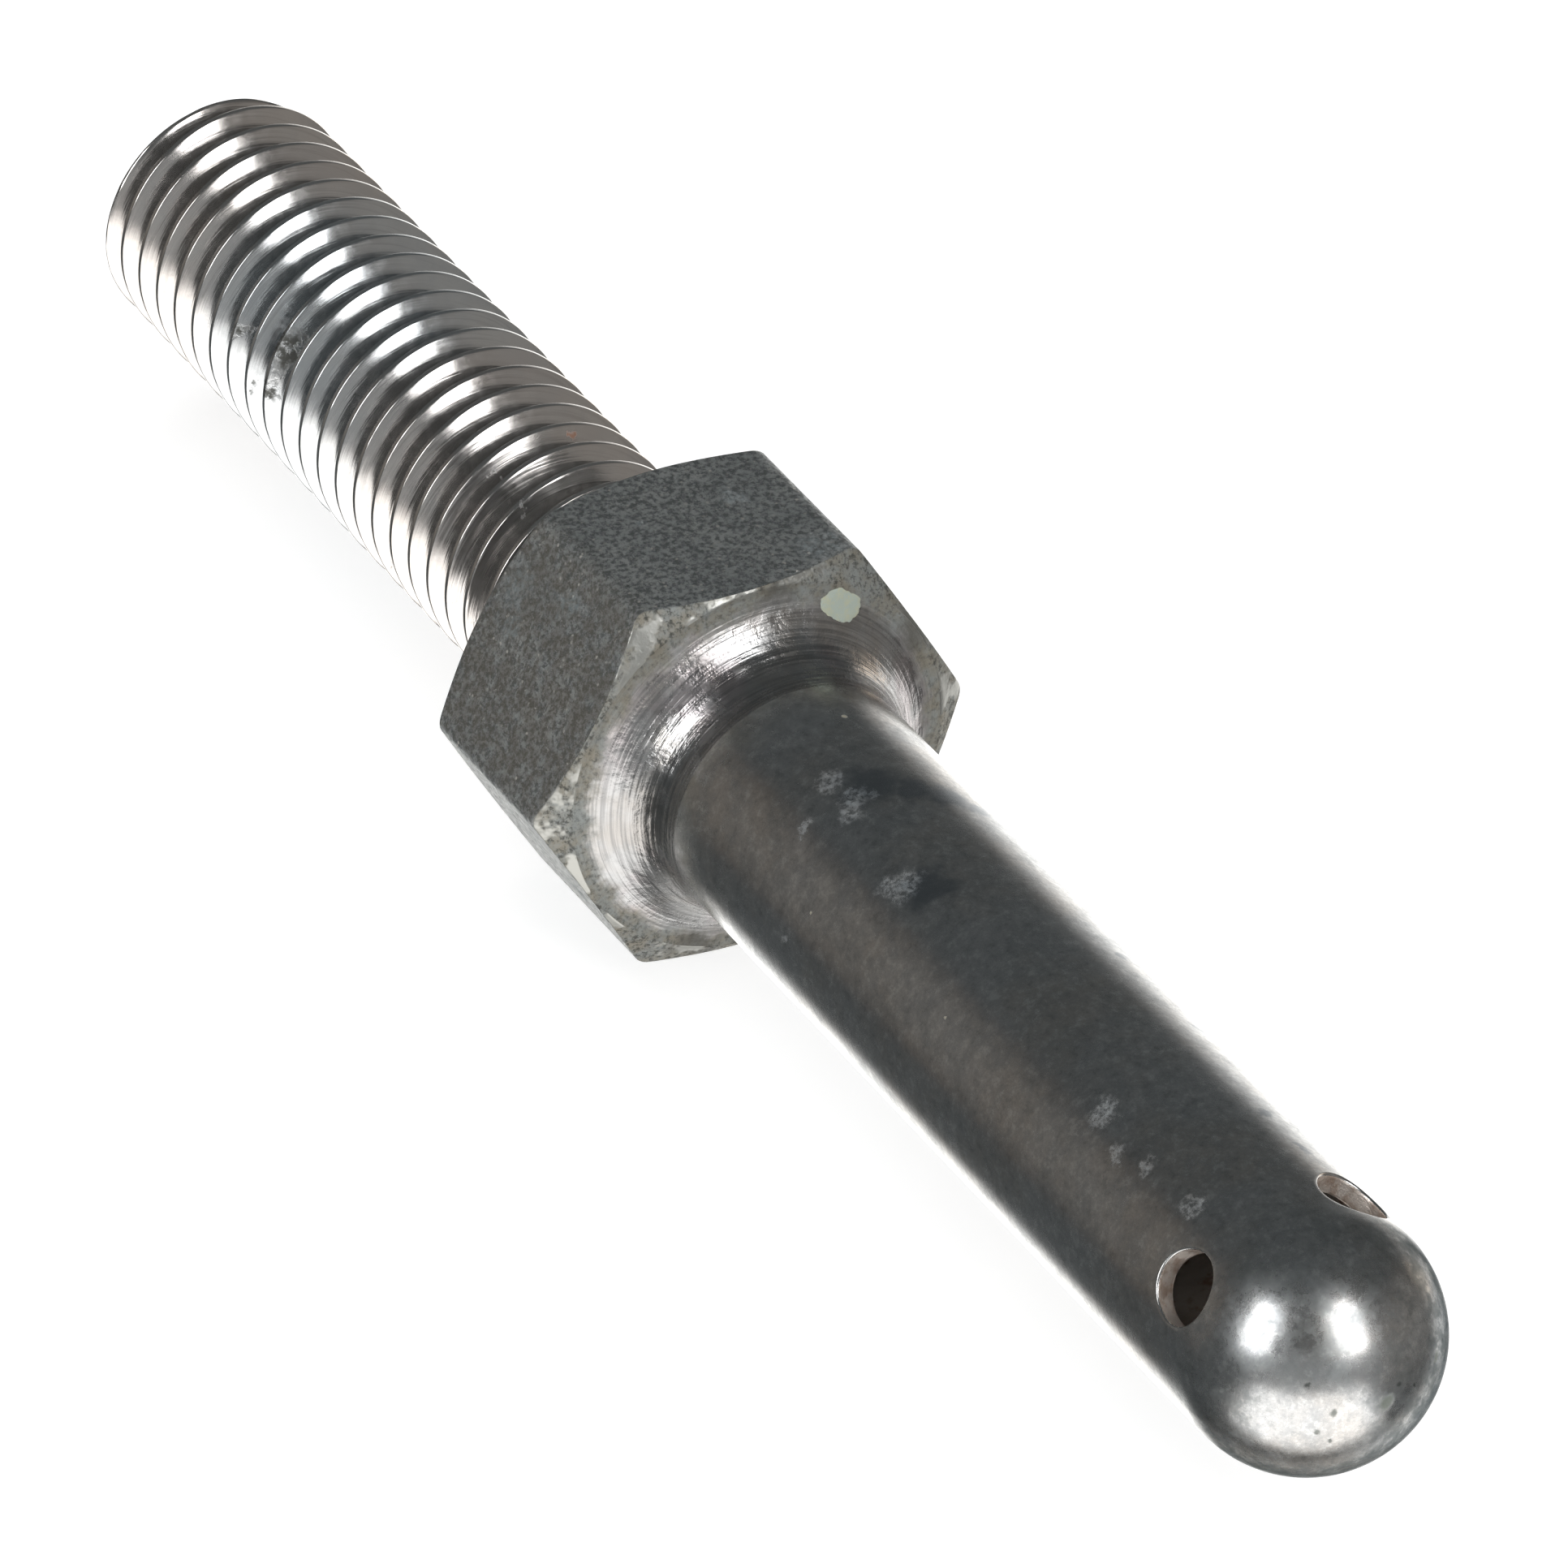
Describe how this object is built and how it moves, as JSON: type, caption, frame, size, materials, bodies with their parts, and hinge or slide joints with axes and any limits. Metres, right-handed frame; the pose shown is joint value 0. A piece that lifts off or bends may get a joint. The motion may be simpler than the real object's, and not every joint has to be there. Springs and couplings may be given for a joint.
{
  "type": "ported ball-nose pin",
  "caption": "Hollow round pin with a closed ball nose, radial ports behind the nose, a hexagonal collar and a threaded stud as its tail.",
  "frame": {"origin": "on the pin's axis in the plane of the hexagon's rear face, where the stud leaves the body", "axes": "+X along the pin towards the ball nose, +Z square to one flat of the hexagon"},
  "size_m": [0.1054, 0.0214, 0.0188],
  "materials": {
    "body_steel": "satin turned steel, stained and lightly corroded",
    "stud_steel": "bright rolled thread with fine scratches"
  },
  "bodies": {
    "root": {"pin_body": "body_steel", "threaded_stud": "stud_steel"}
  },
  "joints": []
}
